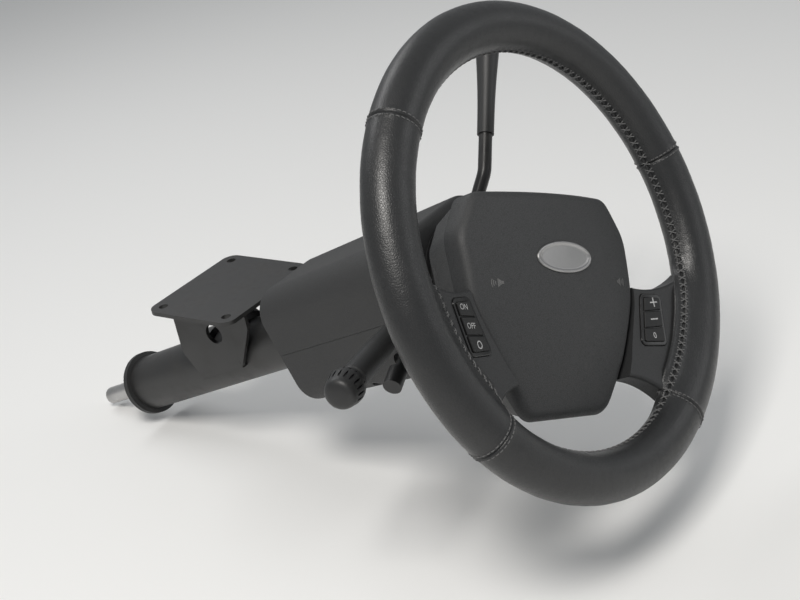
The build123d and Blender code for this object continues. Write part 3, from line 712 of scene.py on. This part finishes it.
spoke = {  # an arc through three places of the cover's front, as (radius, height)
    "arc": ((60.0, -11.0), (118.0, -7.0), (176.0, 8.0)),
    "buttonProud": 2.4,
}
marks = {
    "lift": 0.05, "letter": 6.2, "letterSteps": 4, "zero": 7.13, "sign": 8.0, "line": 1.1,
    "ring": 6.4, "ringRadius": 0.42, "ringParts": 32,
    "rows": (-44.5, -58.7, -72.7), "across": (116.0, 112.0, 107.5),
}
horn = {
    "place": (75.0, -27.0), "size": 11.0, "lift": 0.3, "thick": 1.0,
    "bell": ((-0.5, -0.1), (-0.34, -0.1), (0.0, -0.3), (0.0, 0.3), (-0.34, 0.1), (-0.5, 0.1)),
    "bellFaces": ((0, 1, 4, 5), (1, 2, 3, 4)),
    "waves": (0.2, 0.36, 0.52), "waveWidth": 0.07, "spread": 32.0, "waveParts": 14,
}


def circleThrough(first, second, third):
    (ax, ay), (bx, by), (cx, cy) = first, second, third
    double = 2 * (ax * (by - cy) + bx * (cy - ay) + cx * (ay - by))
    a, b, c = ax * ax + ay * ay, bx * bx + by * by, cx * cx + cy * cy
    x = (a * (by - cy) + b * (cy - ay) + c * (ay - by)) / double
    y = (a * (cx - bx) + b * (ax - cx) + c * (bx - ax)) / double
    return x, y, math.hypot(ax - x, ay - y)


spokeArc = circleThrough(*spoke["arc"])


def spokeSurface(x, y):
    arcPlace, arcHeight, arcRadius = spokeArc
    return arcHeight - math.sqrt(arcRadius ** 2 - (math.hypot(x, y) - arcPlace) ** 2)


def letters(text, size):
    words = bpy.data.curves.new("letters", "FONT")
    words.body = text
    words.size = size
    words.align_x = "CENTER"
    words.align_y = "CENTER"
    words.resolution_u = marks["letterSteps"]
    holder = bpy.data.objects.new("letters", words)
    bpy.context.scene.collection.objects.link(holder)
    bpy.context.view_layer.update()
    mesh = bpy.data.meshes.new_from_object(holder)
    points = [(point.co.x, point.co.y) for point in mesh.vertices]
    faces = [tuple(face.vertices) for face in mesh.polygons]
    bpy.data.objects.remove(holder)
    bpy.data.curves.remove(words)
    bpy.data.meshes.remove(mesh)
    return points, faces


def bar(x0, y0, x1, y1, width):  # a straight stroke with square ends
    start, end = Vector((x0, y0)), Vector((x1, y1))
    along = (end - start).normalized() * width / 2
    side = Vector((-along.y, along.x))
    points = [tuple(place) for place in (start - side, end - side, end + side, start + side)]
    return points, [(0, 1, 2, 3)]


def arcStroke(radius, start, end, width, parts):
    points = []
    for index in range(parts + 1):
        angle = math.radians(start + (end - start) * index / parts)
        for reach in (radius - width / 2, radius + width / 2):
            points.append((reach * math.cos(angle), reach * math.sin(angle)))
    return points, [(2 * i, 2 * i + 1, 2 * i + 3, 2 * i + 2) for i in range(parts)]


def moved(shape, x, y, scale=1.0):
    return [(x + px * scale, y + py * scale) for px, py in shape[0]], shape[1]


def hornShape():  # a plain horn with three waves, one unit wide
    bell = (horn["bell"], horn["bellFaces"])
    waves = [arcStroke(radius, -horn["spread"], horn["spread"], horn["waveWidth"],
                       horn["waveParts"]) for radius in horn["waves"]]
    return joined([bell] + waves)


def layOn(shapes, surface, lift, thick=0.0):  # flat shapes laid on a curved face
    flat, faces = joined(shapes)
    points = [(x, y, surface(x, y) + lift) for x, y in flat]
    if thick:
        count = len(points)
        edges = [edge for face in faces for edge in zip(face, face[1:] + face[:1])]
        inside = set(edges)
        faces += [(b, a, a + count, b + count) for a, b in edges if (b, a) not in inside]
        points += [(x, y, z - thick) for x, y, z in points]
    return points, faces


def makeMarks():
    size, line = marks["sign"], marks["line"] / marks["sign"]
    minus = bar(-0.5, 0, 0.5, 0, line)
    plus = joined([minus, bar(0, -0.5, 0, -line / 2, line), bar(0, line / 2, 0, 0.5, line)])
    ring = arcStroke(marks["ringRadius"], 0, 360, line, marks["ringParts"])
    leftRows = (letters("ON", marks["letter"]), letters("OFF", marks["letter"]),
                moved(ring, 0, 0, marks["ring"]))
    rightRows = (moved(plus, 0, 0, size), moved(minus, 0, 0, size), letters("0", marks["zero"]))
    signs = []
    for side, shapes in ((-1, leftRows), (1, rightRows)):
        for x, y, shape in zip(marks["across"], marks["rows"], shapes):
            signs.append(moved(shape, side * x, y))
    shape = layOn(signs, spokeSurface, spoke["buttonProud"] + marks["lift"])
    addPiece("switchMarks", shape, wheelFrame, "wheel", "button_black", markPaint)
    print("button marks made:", len(signs))


def makeHorns():
    x, y = horn["place"]
    points, faces = moved(hornShape(), 0, 0, horn["size"])
    mirrored = [(-px, py) for px, py in points], [tuple(reversed(face)) for face in faces]
    horns = [moved(mirrored, -x, y), moved((points, faces), x, y)]
    shape = layOn(horns, padSurface, horn["lift"], horn["thick"])
    addPiece("hornMarks", shape, wheelFrame, "wheel", "pad_skin", hornPaint)
    print("horn signs made:", len(horns))


makeMarks()
makeHorns()


# Screws that hold the lower shroud to the upper one

screw = {
    "places": ((48.0, -205.0), (-48.0, -205.0), (44.0, -262.0), (-44.0, -262.0)),  # x and station
    "seat": -4.2, "radius": 3.3, "high": 2.3, "edge": 0.8, "bevel": 0.3, "sides": 48,
    "lobes": 6, "lobeDepth": 0.22, "socketRadius": 1.35, "socketDeep": 1.3, "sharp": 35.0,
}


def screwHead():
    # Rings of (radius, height, whether lobed), from the seat over the crown into the socket
    radius, high, edge, sides = screw["radius"], screw["high"], screw["edge"], screw["sides"]
    bevel = edge * screw["bevel"]
    rings = [(radius, 0.0, 0), (radius, high - edge, 0), (radius - bevel, high - bevel, 0),
             (radius - edge, high, 0), (screw["socketRadius"], high, 1),
             (screw["socketRadius"], high - screw["socketDeep"], 1)]
    points = []
    for reach, level, lobed in rings:
        for side in range(sides):
            angle = 2 * math.pi * side / sides
            size = reach * (1 + lobed * screw["lobeDepth"] * math.cos(screw["lobes"] * angle))
            points.append((size * math.cos(angle), size * math.sin(angle), level))
    faces = gridFaces(len(rings), sides)
    faces.append(tuple(range(sides))[::-1])
    faces.append(tuple(range(len(points) - sides, len(points))))
    return points, faces


def makeScrews():
    points, faces = screwHead()
    heads = [([(x + px, screw["seat"] - pz, station + py) for px, py, pz in points], faces)
             for x, station in screw["places"]]
    addPiece("shroudScrews", joined(heads), columnFrame, "tilt_head", "bare_steel",
             sharp=screw["sharp"])
    print("screws made:", len(heads))


makeScrews()


# Camera, light and floor, in metres

view = {
    "place": (-0.842, -0.529, 0.454),  # from the rim's centre, as the photograph has it
    "up": (0.6277, 0.2666, 0.7312),
    "aim": (0.0, 0.0, -180.0),  # a point on the column's axis, in millimetres
    "focal": 1400.0, "imageWidth": 800.0,  # pixels
    "sensor": 36.0, "nearest": 0.02,
}
stage = {
    "below": 0.004, "halfSize": 30.0, "floor": (0.84, 0.84, 0.83, 1), "floorRough": 0.8,
    "sky": (0.32, 0.33, 0.34, 1),
    "lamps": (  # name, place from the rim's centre, size, watts, tint
        ("keySoft", (-1.1, -0.3, 1.75), (0.7, 0.7), 35, (1.0, 0.97, 0.93)),
        ("fillSoft", (1.2, -1.5, 0.8), (1.4, 1.0), 5, (1, 1, 1)),
        ("backSoft", (0.4, 1.7, 1.6), (1.6, 0.8), 12, (1, 1, 1)),
    ),
}


def makeCamera():
    camera = bpy.data.cameras.new("viewCamera")
    camera.sensor_width = view["sensor"]
    camera.lens = view["sensor"] * view["focal"] / view["imageWidth"]
    camera.clip_start = view["nearest"]
    holder = bpy.data.objects.new("viewCamera", camera)
    bpy.context.scene.collection.objects.link(holder)
    place = rimCentre + Vector(view["place"])
    forward = (columnFrame @ Vector(view["aim"]) - place).normalized()
    right = forward.cross(Vector(view["up"])).normalized()
    turn = Matrix((right, right.cross(forward), -forward)).transposed()
    holder.matrix_world = Matrix.Translation(place) @ turn.to_4x4()
    bpy.context.scene.camera = holder


def areaLight(name, offset, size, power, tint):
    light = bpy.data.lights.new(name, "AREA")
    light.shape = "RECTANGLE"
    light.size, light.size_y = size
    light.energy = power
    light.color = tint
    holder = bpy.data.objects.new(name, light)
    bpy.context.scene.collection.objects.link(holder)
    place = rimCentre + Vector(offset)
    turn = (rimCentre - place).to_track_quat("-Z", "Y")
    holder.matrix_world = Matrix.Translation(place) @ turn.to_matrix().to_4x4()


def makeFloor():
    level = cadLow.z - stage["below"]
    size = stage["halfSize"]
    mesh = bpy.data.meshes.new("floor")
    mesh.from_pydata([(-size, -size, level), (size, -size, level), (size, size, level),
                      (-size, size, level)], [], [(0, 1, 2, 3)])
    floor = bpy.data.objects.new("floor", mesh)
    bpy.context.scene.collection.objects.link(floor)
    finish = Shader("paleFloor").finish(Base_Color=stage["floor"], Roughness=stage["floorRough"])
    mesh.materials.append(finish)


def makeSky():
    world = bpy.data.worlds.new("studio")
    bpy.context.scene.world = world
    world.use_nodes = True
    world.node_tree.nodes["Background"].inputs["Color"].default_value = stage["sky"]


makeCamera()
makeFloor()
makeSky()
for lamp in stage["lamps"]:
    areaLight(*lamp)
bpy.context.scene.view_settings.view_transform = "Standard"
print("camera, light and floor made")
